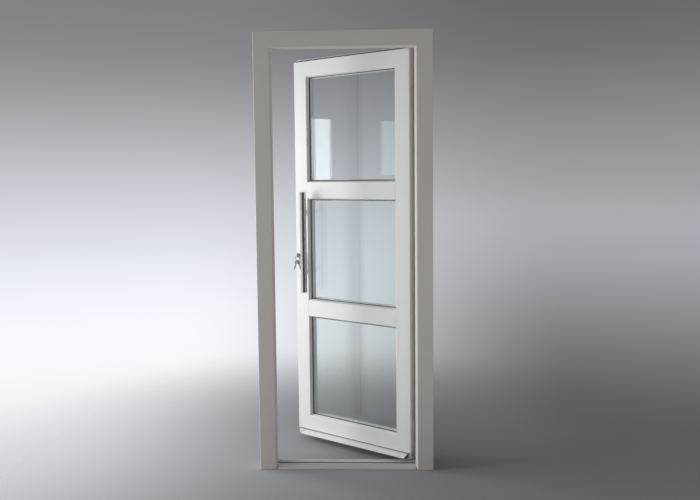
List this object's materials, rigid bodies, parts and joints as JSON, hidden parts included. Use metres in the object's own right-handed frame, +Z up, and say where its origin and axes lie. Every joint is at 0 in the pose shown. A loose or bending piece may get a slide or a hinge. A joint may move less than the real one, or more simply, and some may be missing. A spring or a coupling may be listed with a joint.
{
  "type": "pvc exterior door",
  "caption": "White PVC entrance door with glazed panes between transoms, a frame with a low threshold, a weather bar and a steel pull bar; the leaf swings inward.",
  "frame": {"origin": "underside of the threshold, in the middle of the frame's width and depth, at floor level", "axes": "+Z up, along the door's height; -Y towards the outside, +Y towards the inside; +X towards the hinges"},
  "size_m": [0.8, 0.4544, 2],
  "materials": {
    "frame_pvc": "satin white PVC",
    "leaf_pvc": "satin white PVC",
    "bead_pvc": "satin white PVC",
    "glass": "clear float glass",
    "spacer": "mill grey",
    "seal_rubber": "matt black",
    "brush": "pile",
    "weather_pvc": "satin white PVC",
    "cap_plastic": "moulded dark grey",
    "threshold_aluminium": "anodised",
    "break_plastic": "matt",
    "pull_steel": "brushed stainless",
    "key_nickel": "nickel plated",
    "ring_steel": "polished",
    "hinge_steel": "white powder coat",
    "furniture_aluminium": "white powder coat",
    "lock_steel": "zinc plated"
  },
  "bodies": {
    "root": {"lock_jamb": "frame_pvc", "hinge_jamb": "frame_pvc", "frame_head": "frame_pvc", "threshold_front": "threshold_aluminium", "threshold_break": "break_plastic", "threshold_rear": "threshold_aluminium", "frame_seal": "seal_rubber", "strike_main": "lock_steel", "strike_upper": "lock_steel", "strike_lower": "lock_steel", "hinge_frame_top": "hinge_steel", "hinge_frame_middle": "hinge_steel", "hinge_frame_bottom": "hinge_steel"},
    "leaf": {"lock_stile": "leaf_pvc", "hinge_stile": "leaf_pvc", "top_rail": "leaf_pvc", "bottom_rail": "leaf_pvc", "upper_transom": "leaf_pvc", "lower_transom": "leaf_pvc", "glass_top_outer": "glass", "glass_middle_outer": "glass", "glass_bottom_outer": "glass", "glass_top_inner": "glass", "glass_middle_inner": "glass", "glass_bottom_inner": "glass", "spacer_top": "spacer", "spacer_middle": "spacer", "spacer_bottom": "spacer", "gasket_top": "seal_rubber", "gasket_middle": "seal_rubber", "gasket_bottom": "seal_rubber", "bead_top": "bead_pvc", "bead_middle": "bead_pvc", "bead_bottom": "bead_pvc", "leaf_seal": "seal_rubber", "seal_carrier": "weather_pvc", "brush_seal": "brush", "weather_bar": "weather_pvc", "weather_cap_lock": "cap_plastic", "weather_cap_hinge": "cap_plastic", "pull_bar": "pull_steel", "pull_support_upper": "pull_steel", "pull_support_lower": "pull_steel", "cylinder_escutcheon": "furniture_aluminium", "lock_cylinder": "key_nickel", "door_key": "key_nickel", "key_ring": "ring_steel", "spare_key_left": "key_nickel", "spare_key_right": "key_nickel", "interior_plate": "furniture_aluminium", "interior_lever": "furniture_aluminium", "lock_faceplate": "lock_steel", "latch_bolt": "lock_steel", "side_bolts": "lock_steel", "hinge_leaf_top": "hinge_steel", "hinge_leaf_middle": "hinge_steel", "hinge_leaf_bottom": "hinge_steel"}
  },
  "joints": [
    {"name": "door_swing", "type": "hinge", "parent": "root", "child": "leaf", "pos_m": [0.36, 0.049, 1], "axis": [0, 0, -1], "range_deg": [-31, 59]}
  ]
}
